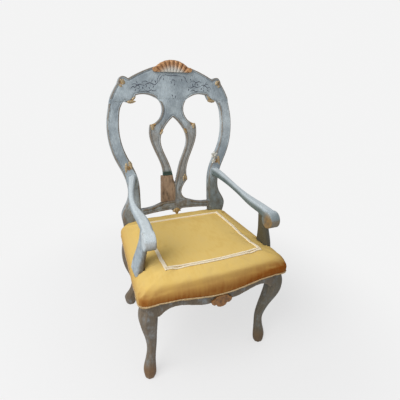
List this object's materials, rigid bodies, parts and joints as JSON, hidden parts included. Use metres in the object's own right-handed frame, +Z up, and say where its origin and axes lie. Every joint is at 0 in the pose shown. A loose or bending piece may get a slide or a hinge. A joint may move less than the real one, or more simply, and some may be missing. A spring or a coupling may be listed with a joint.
{
  "type": "painted armchair",
  "caption": "Open armchair with a raked, pierced-splat back, shell crest, scrolled arms, cabriole legs and a stuffed velvet seat.",
  "frame": {"origin": "on the floor, under the middle of the chair's bounding box", "axes": "+Z up, the front of the chair looks along -Y, +X to the right of someone who faces the chair"},
  "size_m": [0.5882, 0.6142, 1.1221],
  "materials": {
    "painted_wood": "worn blue-grey paint, waxed",
    "gilded_wood": "rubbed old gilding",
    "bare_wood": "bare brown wood",
    "frame_wood": "unfinished",
    "velvet": "short golden pile",
    "braid": "woven cream trimming",
    "webbing": "plain jute weave",
    "hessian": "open jute weave"
  },
  "bodies": {
    "root": {"crest_rail": "painted_wood", "splat": "painted_wood", "lower_back_rail": "painted_wood", "stile_left": "painted_wood", "stile_right": "painted_wood", "arm_left": "painted_wood", "arm_right": "painted_wood", "arm_support_left": "painted_wood", "arm_support_right": "painted_wood", "front_leg_left": "painted_wood", "front_leg_right": "painted_wood", "front_rail": "painted_wood", "crest_shell": "gilded_wood", "apron_leaf": "gilded_wood", "splat_splice": "bare_wood", "rear_rail": "frame_wood", "side_rail_left": "frame_wood", "side_rail_right": "frame_wood", "corner_block_front_left": "frame_wood", "corner_block_front_right": "frame_wood", "corner_block_rear_left": "frame_wood", "corner_block_rear_right": "frame_wood", "seat_cushion": "velvet", "seat_braid": "braid", "seat_gimp": "braid", "webbing_front_to_back": "webbing", "webbing_side_to_side": "webbing", "hessian": "hessian"}
  },
  "joints": []
}
